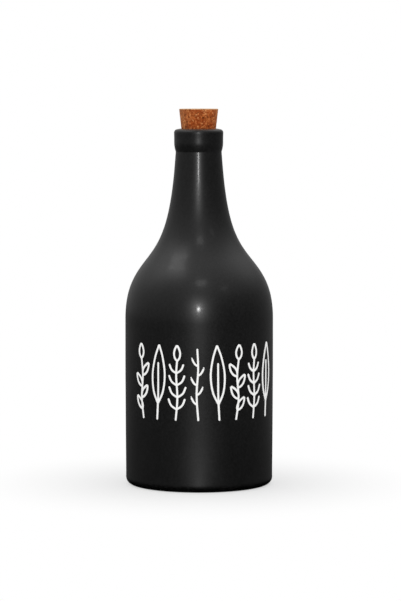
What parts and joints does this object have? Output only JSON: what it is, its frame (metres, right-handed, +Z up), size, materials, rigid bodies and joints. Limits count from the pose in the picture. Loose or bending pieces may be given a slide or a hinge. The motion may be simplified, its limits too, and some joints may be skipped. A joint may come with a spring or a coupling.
{
  "type": "ceramic vinegar bottle",
  "caption": "Slender black stoneware bottle for vinegar, with a long tapered neck, a raised collar at the mouth and a cork stopper.",
  "frame": {"origin": "centre of the foot, on the surface that the bottle stands on", "axes": "+Z up along the bottle's axis, from the foot to the cork; -Y faces the viewer, towards the decorated front; +X to the viewer's right"},
  "size_m": [0.09, 0.09, 0.2281],
  "materials": {
    "glaze": "satin",
    "cork": "matte",
    "decor": "satin"
  },
  "bodies": {
    "root": {"bottle": "glaze", "cork": "cork"}
  },
  "joints": []
}
